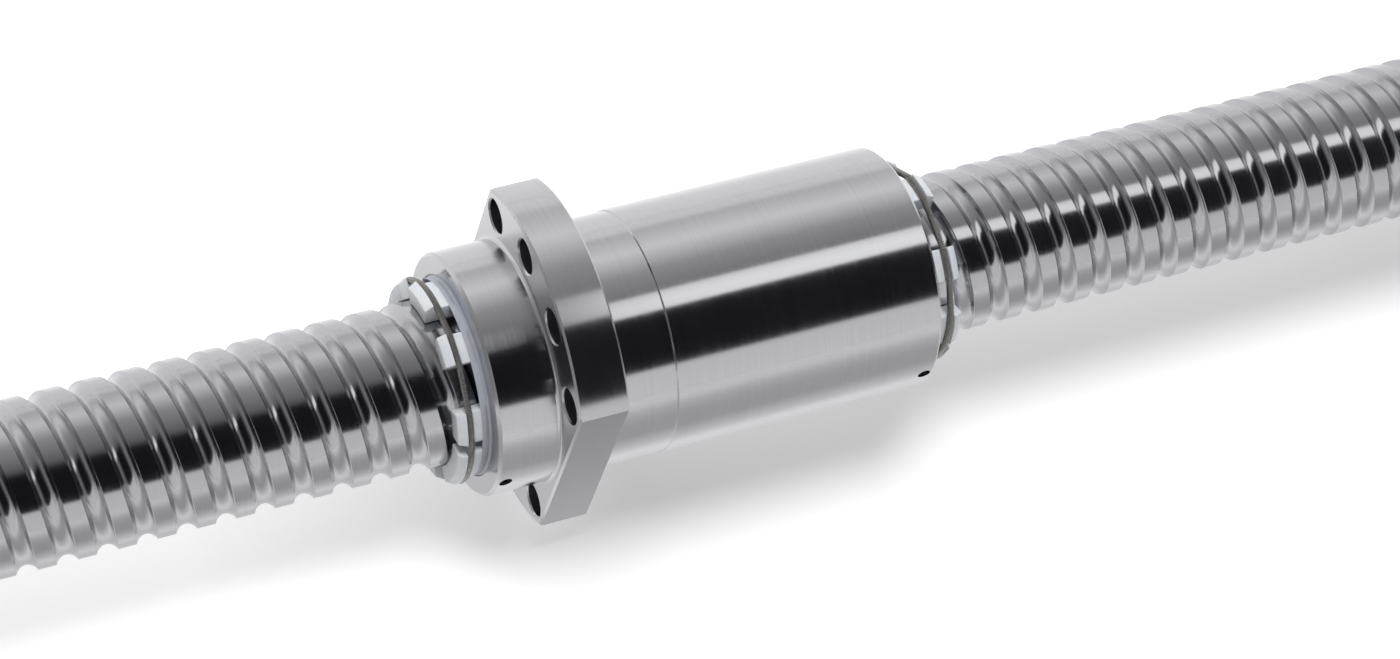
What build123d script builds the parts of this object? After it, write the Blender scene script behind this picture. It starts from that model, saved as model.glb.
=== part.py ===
from build123d import *
import math
import os

# A two-start ball screw with a flanged nut, for a linear actuator. Millimetres.
# X runs along the screw and the origin lies on its axis, in the plane of the flange's seat.
# The flange's two flats face +Y and -Y. An angle about the screw starts at +Y and turns towards +Z.

# Screw thread and raceway
screw_diameter = 63.0
screw_lead = 30.0
thread_starts = 2
thread_phase = 6.1  # X of one groove's middle at +Y
thread_start_x = -254.0
thread_leads = 22  # whole turns of the thread
thread_end_chamfer = 1.5
ball_diameter = 7.938
ball_circle_diameter = 66.0
raceway_clearance = 0.3  # between ball and raceway
arch_offset = 0.25  # from the ball's centre to each arc's centre of the Gothic arch
arch_shoulder = 0.42  # where the flank meets the root, as a share of the groove's half width

# Nut
nut_body_diameter = 95.0
nut_body_length = 136.3  # from the flange's seat to the rear face
nut_collar_length = 24.4
collar_relief = 0.5  # the collar is turned this much under the fitted cylinder
nut_edge_chamfer = 1.2
collar_fillet = 1.5
relief_band_length = 26.5
relief_band_depth = 0.5  # of the turned band between the seat and the fitted cylinder
flange_diameter = 135.0
flange_flats = 100.0
flange_thickness = 20.0
flange_chamfer = 0.8
bolt_circle_diameter = 115.0
bolt_hole_diameter = 13.5
bolt_hole_chamfer = 0.5
bolt_angles = (-45.0, -15.0, 15.0, 45.0)  # from the middle of each of the flange's two arcs
nut_bore_clearance = 0.6
flange_bite = 0.5  # how far the flange reaches into the turned nut
loaded_turns = 4

# Ball return
return_bore_diameter = 8.6
return_bore_radius = 42.2  # from the screw's axis
pocket_cover = 0.8  # of the nut's wall outside a pocket
deflector_width = 24.0  # angle that a pocket takes
deflector_fit = 0.1

# Wipers
wiper_seat_diameter = 78.0
wiper_seat_depth = 22.0
wiper_fit = 0.05
wiper_screw_clearance = 0.4
wiper_rim_height = 0.8
wiper_finger_diameter = 74.8
wiper_finger_root = 3.4  # from the nut's face
wiper_finger_length = 12.8  # from the nut's face
wiper_finger_bevel = 1.6
wiper_slot_depth = 2.0  # of the slots below the nut's face
front_fingers = ((59.0, 27.0), (99.5, 18.0), (145.0, 19.0), (172.0, 22.0))  # middle and width, per start
rear_fingers = ((18.0, 20.0), (69.0, 20.0), (120.5, 19.0), (164.0, 24.0))
spring_coil_diameter = 2.2
spring_sides = 8  # of the section that stands for the round coil
spring_height = 8.2  # from the nut's face
spring_groove_play = 0.1
spring_inset = 0.35  # of the spring's centre line below the fingers' outside

# Set screws that hold the wipers
set_screw_diameter = 5.0
set_screw_length = 5.5
set_screw_hole_clearance = 0.1
set_screw_edge_distance = 4.0  # from the nut's face
set_screw_socket = 2.5
set_screw_socket_depth = 2.2
set_screw_angles = (0.0, 180.0)

# Lubrication port in the flange's rim
port_diameter = 7.0
port_depth = 14.0
port_channel_diameter = 4.0
port_x = -10.0
port_angle = 270.0

# Shaft ends
bearing_seat_diameter = 50.0
seat_chamfer = 0.8
lock_thread_length = 16.0
thread_relief_width = 3.0
thread_relief_depth = 1.2
drive_journal_diameter = 40.0
drive_journal_length = 70.0
key_width = 12.0
key_height = 8.0
key_length = 50.0
key_seat_depth = 5.0
key_end_distance = 10.0
key_angle = 67.5
centre_hole_diameter = 8.0
circlip_groove_depth = 1.5
circlip_end_distance = 4.0

# Support bearings
fixed_bearing_diameter = 90.0
fixed_bearing_width = 34.0
float_bearing_diameter = 90.0
float_bearing_width = 20.0
inner_ring_thickness = 5.5
outer_ring_thickness = 5.0
ring_chamfer = 1.0
seal_thickness = 1.6
seal_recess = 0.4
seal_lip_clearance = 0.3

# Lock nut, lock washer and circlip
lock_nut_diameter = 70.0
lock_nut_width = 11.0
lock_nut_slots = 4
lock_nut_slot_width = 6.0
lock_nut_slot_depth = 2.5
lock_nut_chamfer = 1.5
washer_thickness = 1.5
washer_diameter = 66.0
washer_tabs = 8
washer_tab_width = 5.0
washer_tab_length = 3.5
circlip_thickness = 2.0
circlip_width = 5.0
circlip_gap = 24.0  # angle between its two ears
circlip_ear_diameter = 7.0
circlip_ear_hole = 2.5

# Drawing
cut_margin = 1.0  # how far a cutting shape runs past what it cuts
upright = (Align.CENTER, Align.CENTER, Align.MIN)

# Places that follow from the sizes above
screw_radius = screw_diameter / 2
thread_end_x = thread_start_x + thread_leads * screw_lead
nut_radius = nut_body_diameter / 2
collar_radius = nut_radius - collar_relief
nut_front_x = -flange_thickness - nut_collar_length
nut_rear_x = nut_body_length
nut_bore_radius = screw_radius + nut_bore_clearance
front_floor_x = nut_front_x + wiper_seat_depth
rear_floor_x = nut_rear_x - wiper_seat_depth
deflector_length = rear_floor_x - front_floor_x - loaded_turns * screw_lead
front_deflector_x = front_floor_x + deflector_length / 2
rear_deflector_x = rear_floor_x - deflector_length / 2
ball_radius = ball_diameter / 2
ball_circle_radius = ball_circle_diameter / 2
arch_radius = ball_radius + raceway_clearance + arch_offset * math.sqrt(2)
fixed_bearing_x = thread_end_x
washer_x = fixed_bearing_x + fixed_bearing_width
lock_nut_x = washer_x + washer_thickness
drive_journal_x = washer_x + lock_thread_length
drive_end_x = drive_journal_x + drive_journal_length
float_bearing_x = thread_start_x - float_bearing_width
circlip_x = float_bearing_x - circlip_thickness
float_end_x = circlip_x - circlip_end_distance


def along_screw(shape, x=0.0):
    """Stand a shape that was drawn about Z on the screw's axis, with its own Z = 0 at x."""
    return Pos(x, 0, 0) * Plane.YZ.location * shape


def turned(*points):
    """Revolve an outline of (x, radius) points about the screw's axis."""
    return revolve(make_face(Polyline(*points, close=True)), Axis.X)


def ring(x0, x1, inner, outer, chamfer_size):
    """A turned ring with its two outer edges broken."""
    return turned(
        (x0, inner),
        (x0, outer - chamfer_size),
        (x0 + chamfer_size, outer),
        (x1 - chamfer_size, outer),
        (x1, outer - chamfer_size),
        (x1, inner),
    )


def sector(inner, outer, start, end, length):
    """A block between two radii and two angles, drawn about Z."""

    def at(radius, angle):
        return (radius * math.cos(math.radians(angle)), radius * math.sin(math.radians(angle)))

    middle = (start + end) / 2
    outline = Curve() + [
        ThreePointArc(at(inner, start), at(inner, middle), at(inner, end)),
        Line(at(inner, end), at(outer, end)),
        ThreePointArc(at(outer, end), at(outer, middle), at(outer, start)),
        Line(at(outer, start), at(inner, start)),
    ]
    return extrude(make_face(outline), length)


def radial_pin(radius, inner, outer, x, angle):
    """A cylinder that points away from the screw's axis."""
    pin = Pos(0, 0, inner) * Cylinder(radius, outer - inner, align=upright)
    return Pos(x, 0, 0) * Rot(angle - 90, 0, 0) * pin


def raceway_outline():
    """A groove's section, drawn with X as radius: three chords of the Gothic arch."""
    rise = ball_circle_radius - screw_radius + arch_offset
    half = math.sqrt(arch_radius**2 - rise**2) - arch_offset
    shoulder = arch_shoulder * half
    root_depth = math.sqrt(arch_radius**2 - (shoulder + arch_offset) ** 2) - arch_offset
    root = ball_circle_radius - root_depth
    open_side = screw_radius + cut_margin
    return make_face(
        Polyline(
            (screw_radius, -half),
            (root, -shoulder),
            (root, shoulder),
            (screw_radius, half),
            (open_side, half),
            (open_side, -half),
            close=True,
        )
    )


def threaded_bar():
    """The threaded length: grooves cut into a bar one lead long, then that bar for every turn."""
    x = thread_start_x
    bar = turned((x, 0), (x, screw_radius), (x + screw_lead, screw_radius), (x + screw_lead, 0))
    groove_leads = 3  # the bar's own lead, and one more at each end
    path = Helix(pitch=screw_lead, height=groove_leads * screw_lead, radius=screw_radius)
    groove = sweep(Plane.XZ * raceway_outline(), path=path, is_frenet=True)
    groove_x = x - screw_lead
    for angle in start_angles(groove_x):
        bar = bar - along_screw(Rot(0, 0, angle) * groove, groove_x)
    copies = [Pos(screw_lead * turn, 0, 0) * bar for turn in range(1, thread_leads)]
    return bar.fuse(*copies, glue=True)


def start_angles(x):
    """The angle at which each groove's middle passes x."""
    first = 360 * (x - thread_phase) / screw_lead
    return [first + 360 * start / thread_starts for start in range(thread_starts)]


def screw_shaft():
    """The screw with its raceways, bearing seats, lock thread and drive journal."""
    thread = threaded_bar() - thread_end_cut(thread_start_x, 1) - thread_end_cut(thread_end_x, -1)
    return (thread + float_end() + drive_end() - key_blank(key_seat_depth)).solid()


def thread_end_cut(x, inward):
    """What breaks the thread's edge at one end."""
    outside = screw_radius + cut_margin
    return turned(
        (x, screw_radius - thread_end_chamfer),
        (x, outside),
        (x + inward * (thread_end_chamfer + cut_margin), outside),
    )


def float_end():
    """The floating bearing's seat, with the circlip's groove."""
    seat = bearing_seat_diameter / 2
    centre = centre_hole_diameter / 2
    groove_floor = seat - circlip_groove_depth
    return turned(
        (float_end_x + centre, 0),
        (float_end_x, centre),
        (float_end_x, seat - seat_chamfer),
        (float_end_x + seat_chamfer, seat),
        (circlip_x, seat),
        (circlip_x, groove_floor),
        (circlip_x + circlip_thickness, groove_floor),
        (circlip_x + circlip_thickness, seat),
        (thread_start_x, seat),
        (thread_start_x, 0),
    )


def drive_end():
    """The fixed bearing's seat, the lock nut's thread and the drive journal."""
    seat = bearing_seat_diameter / 2
    drive = drive_journal_diameter / 2
    centre = centre_hole_diameter / 2
    relief_x = drive_journal_x - thread_relief_width
    return turned(
        (thread_end_x, 0),
        (thread_end_x, seat),
        (relief_x, seat),
        (relief_x, seat - thread_relief_depth),
        (drive_journal_x, seat - thread_relief_depth),
        (drive_journal_x, drive),
        (drive_end_x - seat_chamfer, drive),
        (drive_end_x, drive - seat_chamfer),
        (drive_end_x, centre),
        (drive_end_x - centre, 0),
    )


def key_blank(depth):
    """A round-ended key of this depth below the drive journal's surface, as high as a key."""
    middle_x = drive_end_x - key_end_distance - key_length / 2
    outline = Pos(middle_x, 0, drive_journal_diameter / 2 - depth) * SlotOverall(key_length, key_width)
    return Rot(key_angle - 90, 0, 0) * extrude(outline, key_height)


def nut_body():
    """The flanged nut with its seats, plain bore, ball returns and holes."""
    band = nut_radius - relief_band_depth
    edge = nut_edge_chamfer
    seat = wiper_seat_diameter / 2
    body = turned(
        (nut_front_x, seat),
        (nut_front_x, collar_radius - edge),
        (nut_front_x + edge, collar_radius),
        (-flange_thickness / 2, collar_radius),
        (0, band),
        (relief_band_length, band),
        (relief_band_length + relief_band_depth, nut_radius),
        (nut_rear_x - edge, nut_radius),
        (nut_rear_x, nut_radius - edge),
        (nut_rear_x, seat),
        (rear_floor_x, seat),
        (rear_floor_x, nut_bore_radius),
        (front_floor_x, nut_bore_radius),
        (front_floor_x, seat),
    )
    body = body + flange_plate()
    corners = body.edges().filter_by(GeomType.CIRCLE).filter_by(is_collar_corner)
    body = fillet(corners, collar_fillet)
    for angle in circuit_angles():
        for x in (front_deflector_x, rear_deflector_x):
            body = body - deflector_blank(x, angle, 0)
        body = body - return_bore(angle)
    for x in (nut_front_x + set_screw_edge_distance, nut_rear_x - set_screw_edge_distance):
        for angle in set_screw_angles:
            hole = set_screw_diameter / 2 + set_screw_hole_clearance
            body = body - radial_pin(hole, nut_bore_radius, nut_radius + cut_margin, x, angle)
    return (body - lubrication_port()).solid()


def is_collar_corner(edge):
    """Whether an edge is the corner between the collar and the flange's front face."""
    return abs(edge.radius - collar_radius) < 0.01 and abs(edge.center().X + flange_thickness) < 0.01


def flange_plate():
    """The flange: a disc with two flats, its edges broken, and its bolt holes."""
    outline = Circle(flange_diameter / 2) & Rectangle(flange_flats, flange_diameter)
    outline = outline - Circle(nut_radius - max(collar_relief, relief_band_depth) - flange_bite)
    plate = extrude(outline, flange_thickness)
    rims = [plate.faces().sort_by(Axis.Z)[end].outer_wire().edges() for end in (0, -1)]
    plate = chamfer(rims[0] + rims[1], flange_chamfer)
    for middle in (90.0, 270.0):
        for offset in bolt_angles:
            angle = math.radians(middle + offset)
            y, z = (bolt_circle_diameter / 2 * f(angle) for f in (math.cos, math.sin))
            plate = plate - Pos(y, z, 0) * bolt_hole()
    return along_screw(plate, -flange_thickness)


def bolt_hole():
    """One bolt hole with both mouths broken."""
    radius = bolt_hole_diameter / 2
    wide = radius + bolt_hole_chamfer
    hole = make_face(
        Polyline(
            (0, 0),
            (wide, 0),
            (radius, bolt_hole_chamfer),
            (radius, flange_thickness - bolt_hole_chamfer),
            (wide, flange_thickness),
            (0, flange_thickness),
            close=True,
        )
    )
    return revolve(Plane.XZ * hole, Axis.Z)


def circuit_angles():
    """The angle of each ball circuit's pockets, where its groove passes the front deflectors' middle."""
    return start_angles(front_deflector_x)


def deflector_blank(x, angle, play):
    """A pocket, or with play the deflector that fills it, centred on x and angle."""
    outer = nut_radius - pocket_cover - play
    inner = nut_bore_radius - (cut_margin if play == 0 else 0)
    length = deflector_length - 2 * play
    half = deflector_width / 2 - math.degrees(play / outer)
    return along_screw(sector(inner, outer, angle - half, angle + half, length), x - length / 2)


def return_bore(angle):
    """The straight bore that takes a circuit's balls back."""
    length = rear_deflector_x - front_deflector_x
    y, z = (return_bore_radius * f(math.radians(angle)) for f in (math.cos, math.sin))
    bore = Cylinder(return_bore_diameter / 2, length, align=upright)
    return along_screw(Pos(y, z, 0) * bore, front_deflector_x)


def deflector(x, angle):
    """A deflector: it fills its pocket, and a ball channel opens towards the return bore."""
    return deflector_blank(x, angle, deflector_fit) - return_bore(angle)


def lubrication_port():
    """The port in the flange's rim, with the narrow channel that leads to the screw."""
    rim = flange_diameter / 2
    mouth = radial_pin(port_diameter / 2, rim - port_depth, rim + cut_margin, port_x, port_angle)
    channel = radial_pin(port_channel_diameter / 2, nut_bore_radius - cut_margin, rim, port_x, port_angle)
    return mouth + channel


def wiper(face_x, outward, fingers):
    """A segmented wiper. Outward is -1 at the front face and +1 at the rear face."""

    def x(height):
        return face_x + outward * height

    seat = wiper_seat_diameter / 2 - wiper_fit
    finger = wiper_finger_diameter / 2
    inner = screw_radius + wiper_screw_clearance
    groove = spring_coil_diameter / 2 + spring_groove_play
    floor = spring_centre_radius() - groove
    body = turned(
        (x(wiper_fit - wiper_seat_depth), inner),
        (x(wiper_fit - wiper_seat_depth), seat),
        (x(wiper_rim_height), seat),
        (x(wiper_finger_root), finger),
        (x(spring_height - groove), finger),
        (x(spring_height - groove), floor),
        (x(spring_height + groove), floor),
        (x(spring_height + groove), finger),
        (x(wiper_finger_length - wiper_finger_bevel), finger),
        (x(wiper_finger_length), finger - wiper_finger_bevel),
        (x(wiper_finger_length), inner),
    )
    slot_length = wiper_finger_length + wiper_slot_depth
    slot_x = face_x - wiper_slot_depth if outward > 0 else face_x - wiper_finger_length
    for gap_start, gap_end in finger_gaps(fingers):
        body = body - along_screw(sector(inner - cut_margin, finger, gap_start, gap_end, slot_length), slot_x)
    return body


def finger_gaps(fingers):
    """The angles between neighbouring fingers, all round."""
    turn = 360 / thread_starts
    full = [(middle + turn * start, width) for start in range(thread_starts) for middle, width in fingers]
    gaps = []
    for (middle, width), (after, after_width) in zip(full, full[1:] + [(full[0][0] + 360, full[0][1])]):
        gaps.append((middle + width / 2, after - after_width / 2))
    return gaps


def spring_centre_radius():
    """The radius of the garter spring's own centre line."""
    return wiper_finger_diameter / 2 - spring_inset


def garter_spring(face_x, outward):
    """The ring that the coil spring round a wiper's fingers fills, with flat sides."""
    section = RegularPolygon(spring_coil_diameter / 2, spring_sides)
    section = Pos(face_x + outward * spring_height, spring_centre_radius()) * section
    return revolve(section, Axis.X)


def set_screws(face_x, outward):
    """The two screws that hold a wiper in its seat."""
    tip = wiper_seat_diameter / 2
    top = tip + set_screw_length
    screws = []
    for angle in set_screw_angles:
        x = face_x - outward * set_screw_edge_distance
        screw = radial_pin(set_screw_diameter / 2, tip, top, x, angle)
        socket = extrude(RegularPolygon(set_screw_socket / 2, 6, major_radius=False), set_screw_socket_depth)
        socket = Pos(x, 0, 0) * Rot(angle - 90, 0, 0) * Pos(0, 0, top - set_screw_socket_depth) * socket
        screws.append(screw - socket)
    return Compound(children=[screw.solid() for screw in screws])


def inner_ring(x, width):
    """A bearing's inner ring, or one half of it."""
    bore = bearing_seat_diameter / 2
    return ring(x, x + width, bore, bore + inner_ring_thickness, ring_chamfer / 2)


def outer_ring(x, width, diameter):
    """A bearing's outer ring."""
    return ring(x, x + width, diameter / 2 - outer_ring_thickness, diameter / 2, ring_chamfer)


def seal(x, diameter):
    """A bearing's seal: pressed into the outer ring, with its lip just clear of the inner ring."""
    inner = bearing_seat_diameter / 2 + inner_ring_thickness + seal_lip_clearance
    outer = diameter / 2 - outer_ring_thickness
    return turned((x, inner), (x, outer), (x + seal_thickness, outer), (x + seal_thickness, inner))


def lock_washer():
    """The washer under the lock nut, with its ring of tabs."""
    outer = washer_diameter / 2
    inner = bearing_seat_diameter / 2
    washer = Circle(outer)
    for tab in range(washer_tabs):
        tab_shape = Pos(outer, 0) * Rectangle(2 * washer_tab_length, washer_tab_width)
        washer = washer + Rot(0, 0, 360 * tab / washer_tabs) * tab_shape
    washer = washer - Circle(inner)
    return along_screw(extrude(washer, washer_thickness), washer_x)


def lock_nut():
    """The slotted nut that clamps the fixed bearing's inner rings."""
    radius = lock_nut_diameter / 2
    nut = ring(lock_nut_x, lock_nut_x + lock_nut_width, bearing_seat_diameter / 2, radius, lock_nut_chamfer)
    for slot in range(lock_nut_slots):
        cut = Box(2 * lock_nut_slot_depth, lock_nut_slot_width, lock_nut_width, align=upright)
        nut = nut - along_screw(Rot(0, 0, 360 * slot / lock_nut_slots) * Pos(radius, 0, 0) * cut, lock_nut_x)
    return nut


def circlip():
    """The ring that keeps the floating bearing on the shaft, with its two pierced ears."""
    inner = bearing_seat_diameter / 2 - circlip_groove_depth
    outer = inner + circlip_width
    half_gap = circlip_gap / 2
    clip = sector(inner, outer, half_gap, 360 - half_gap, circlip_thickness)
    ear_radius = circlip_ear_diameter / 2
    ear_centre = inner + ear_radius
    for side in (-1, 1):
        angle = side * (half_gap + math.degrees(ear_radius / ear_centre) / 2)
        place = Rot(0, 0, angle) * Pos(ear_centre, 0, 0)
        ear = Cylinder(ear_radius, circlip_thickness, align=upright)
        hole = Cylinder(circlip_ear_hole / 2, circlip_thickness, align=upright)
        clip = (clip + place * ear) - place * hole
    return along_screw(clip, circlip_x)


def all_parts():
    """Every node's name with its shape."""
    far_seal = seal_recess + seal_thickness
    half_fixed = fixed_bearing_width / 2
    fixed_end_x = fixed_bearing_x + fixed_bearing_width
    parts = {
        "screw_shaft": screw_shaft(),
        "fixed_bearing_inner_ring_inboard": inner_ring(fixed_bearing_x, half_fixed),
        "fixed_bearing_inner_ring_outboard": inner_ring(fixed_bearing_x + half_fixed, half_fixed),
        "fixed_bearing_outer_ring": outer_ring(fixed_bearing_x, fixed_bearing_width, fixed_bearing_diameter),
        "fixed_bearing_seal_inboard": seal(fixed_bearing_x + seal_recess, fixed_bearing_diameter),
        "fixed_bearing_seal_outboard": seal(fixed_end_x - far_seal, fixed_bearing_diameter),
        "float_bearing_inner_ring": inner_ring(float_bearing_x, float_bearing_width),
        "float_bearing_outer_ring": outer_ring(float_bearing_x, float_bearing_width, float_bearing_diameter),
        "float_bearing_seal_outboard": seal(float_bearing_x + seal_recess, float_bearing_diameter),
        "float_bearing_seal_inboard": seal(thread_start_x - far_seal, float_bearing_diameter),
        "float_circlip": circlip(),
        "lock_washer": lock_washer(),
        "lock_nut": lock_nut(),
        "drive_key": key_blank(key_seat_depth),
        "nut_body": nut_body(),
        "front_wiper": wiper(nut_front_x, -1, front_fingers),
        "rear_wiper": wiper(nut_rear_x, 1, rear_fingers),
        "front_wiper_spring": garter_spring(nut_front_x, -1),
        "rear_wiper_spring": garter_spring(nut_rear_x, 1),
        "front_wiper_set_screws": set_screws(nut_front_x, -1),
        "rear_wiper_set_screws": set_screws(nut_rear_x, 1),
    }
    for number, angle in enumerate(circuit_angles(), start=1):
        parts[f"front_deflector_{number}"] = deflector(front_deflector_x, angle)
        parts[f"rear_deflector_{number}"] = deflector(rear_deflector_x, angle)
    return parts


os.makedirs("parts", exist_ok=True)
for name, shape in all_parts().items():
    export_step(shape, f"parts/{name}.step")
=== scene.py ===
import bpy
import bmesh
import math
from mathutils import Matrix, Vector


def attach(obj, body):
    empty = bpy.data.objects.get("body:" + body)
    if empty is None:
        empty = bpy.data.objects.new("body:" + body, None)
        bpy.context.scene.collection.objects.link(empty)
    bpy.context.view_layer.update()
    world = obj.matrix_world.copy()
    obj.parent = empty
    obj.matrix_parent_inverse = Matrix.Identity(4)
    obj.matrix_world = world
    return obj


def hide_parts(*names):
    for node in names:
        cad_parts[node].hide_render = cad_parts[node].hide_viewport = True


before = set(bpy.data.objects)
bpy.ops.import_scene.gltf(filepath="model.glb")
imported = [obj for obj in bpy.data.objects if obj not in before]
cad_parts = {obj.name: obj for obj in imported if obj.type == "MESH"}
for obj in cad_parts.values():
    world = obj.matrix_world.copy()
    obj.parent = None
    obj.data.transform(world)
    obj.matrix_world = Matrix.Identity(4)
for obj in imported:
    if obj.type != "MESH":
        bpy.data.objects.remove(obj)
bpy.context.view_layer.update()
mm = 0.001  # sizes below are written in millimetres
print("frame loaded")


# helpers

def hexColour(code):
    # sRGB hex to linear RGBA
    parts = [int(code[i:i + 2], 16) / 255 for i in (0, 2, 4)]
    linear = [p / 12.92 if p <= 0.04045 else ((p + 0.055) / 1.055) ** 2.4 for p in parts]
    return (*linear, 1.0)


def addNode(tree, kind, settings=None, links=None):
    # settings go on the node, links on its inputs: a socket or a node's first output is linked,
    # anything else is the input's own value
    node = tree.nodes.new(kind)
    for name, value in (settings or {}).items():
        setattr(node, name, value)
    for key, value in (links or {}).items():
        if isinstance(value, bpy.types.Node):
            value = value.outputs[0]
        if isinstance(value, bpy.types.NodeSocket):
            tree.links.new(value, node.inputs[key])
        else:
            node.inputs[key].default_value = value
    return node


def newMaterial(name, empty=False):
    # a material and its tree, with or without the standard shader
    material = bpy.data.materials.new(name)
    material.use_nodes = True
    if empty:
        material.node_tree.nodes.clear()
    return material, material.node_tree


def newObject(name, data):
    thing = bpy.data.objects.new(name, data)
    bpy.context.scene.collection.objects.link(thing)
    return thing


def polar(x, radius, angle):
    # a point at an angle in degrees about the screw's axis, from +Y towards +Z, in metres
    turn = math.radians(angle)
    return (x * mm, radius * math.cos(turn) * mm, radius * math.sin(turn) * mm)


def meshObject(name, vertices, faces, material):
    mesh = bpy.data.meshes.new(name)
    mesh.from_pydata(vertices, [], faces)
    mesh.materials.append(material)
    return newObject(name, mesh)


def latheData(profile, steps=192, start=0.0, end=360.0):
    # a closed outline of (x, radius) points turned about the axis; part of a turn gets two end faces
    whole = abs(end - start) >= 359.999
    columns = steps if whole else steps + 1
    vertices = []
    for i in range(columns):
        angle = start + (end - start) * i / steps
        vertices += [polar(x, radius, angle) for x, radius in profile]
    count = len(profile)
    faces = []
    for i in range(steps):
        a, b = i * count, ((i + 1) % columns) * count
        for j in range(count):
            k = (j + 1) % count
            faces.append((a + j, a + k, b + k, b + j))
    if not whole:
        faces.append(tuple(range(count - 1, -1, -1)))
        last = (columns - 1) * count
        faces.append(tuple(last + j for j in range(count)))
    return vertices, faces


mergeDistance = 2e-6  # metres, within which two points are one


def tidyMesh(piece, sharpAngle=32.0):
    # merge doubles, turn faces outwards, shade smooth with edges kept sharp
    work = bmesh.new()
    work.from_mesh(piece.data)
    bmesh.ops.remove_doubles(work, verts=work.verts, dist=mergeDistance)
    bmesh.ops.dissolve_degenerate(work, edges=work.edges, dist=mergeDistance / 2)
    bmesh.ops.recalc_face_normals(work, faces=work.faces)
    work.to_mesh(piece.data)
    work.free()
    piece.data.shade_smooth()
    piece.data.set_sharp_from_angle(angle=math.radians(sharpAngle))
    return piece


def addData(bulk, data):
    # join vertex and face lists
    base = len(bulk[0])
    bulk[0].extend(data[0])
    bulk[1].extend(tuple(base + i for i in face) for face in data[1])


def bakeModifiers(piece):
    # the evaluated mesh replaces the piece's own, and its modifiers go
    graph = bpy.context.evaluated_depsgraph_get()
    graph.update()
    mesh = bpy.data.meshes.new_from_object(piece.evaluated_get(graph))
    old = piece.data
    piece.modifiers.clear()
    piece.data = mesh
    bpy.data.meshes.remove(old)
    return piece


def cutWith(piece, cutter):
    cut = piece.modifiers.new("cut", "BOOLEAN")
    cut.operation = "DIFFERENCE"
    cut.solver = "EXACT"
    cut.object = cutter
    bakeModifiers(piece)
    bpy.data.objects.remove(cutter)
    return piece


def setInput(modifier, name, value):
    # a modifier's input is set by the socket's identifier
    for item in modifier.node_group.interface.items_tree:
        if item.item_type == "SOCKET" and item.in_out == "INPUT" and item.name == name:
            modifier[item.identifier] = value
            return
    raise KeyError(name)


def grownPiece(name, group, values, line=()):
    # run a node group once, on a closed line of points if it needs one, and keep the plain mesh
    piece = meshObject(name, [], [], values["Material"])
    if line:
        piece.data.from_pydata(line, [(i, (i + 1) % len(line)) for i in range(len(line))], [])
    modifier = piece.modifiers.new("grow", "NODES")
    modifier.node_group = group
    for key, value in values.items():
        setInput(modifier, key, value)
    bakeModifiers(piece)
    return piece


def newGroup(name, sockets):
    # a tree with a named input for each size, listed by kind
    group = bpy.data.node_groups.new(name, "GeometryNodeTree")
    shape = {"name": "Geometry", "socket_type": "NodeSocketGeometry"}
    group.interface.new_socket(in_out="INPUT", **shape)
    for kind, labels in sockets.items():
        for label in labels:
            group.interface.new_socket(name=label, in_out="INPUT", socket_type="NodeSocket" + kind)
    group.interface.new_socket(in_out="OUTPUT", **shape)
    return group, group.nodes.new("NodeGroupInput"), group.nodes.new("NodeGroupOutput")


def finishGroup(group, geometry, material, output):
    whole = addNode(group, "GeometryNodeRealizeInstances", links={"Geometry": geometry})
    shaded = addNode(group, "GeometryNodeSetShadeSmooth", links={"Geometry": whole, "Shade Smooth": True})
    painted = addNode(group, "GeometryNodeSetMaterial", links={"Geometry": shaded, "Material": material})
    group.links.new(painted.outputs[0], output.inputs[0])


# materials

noiseLow, noiseHigh = 0.3, 0.7  # a noise pattern seldom leaves this range
metalBump, mouldedBump = 0.02, 0.05  # depth of the surface's pattern at full strength, in millimetres


def paintSurface(tree, shader, look, roughShare, tintShare):
    # a pattern moves the roughness, and another the colour, between the two values of the look
    rough = addNode(tree, "ShaderNodeMapRange", links={
        0: roughShare, 1: noiseLow, 2: noiseHigh, 3: look["roughness"][0], 4: look["roughness"][1]})
    tree.links.new(rough.outputs[0], shader.inputs["Roughness"])
    tint = addNode(tree, "ShaderNodeMix", {"data_type": "RGBA"},
                   {0: tintShare, 6: hexColour(look["colours"][0]), 7: hexColour(look["colours"][1])})
    tree.links.new(tint.outputs[2], shader.inputs["Base Color"])


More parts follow.
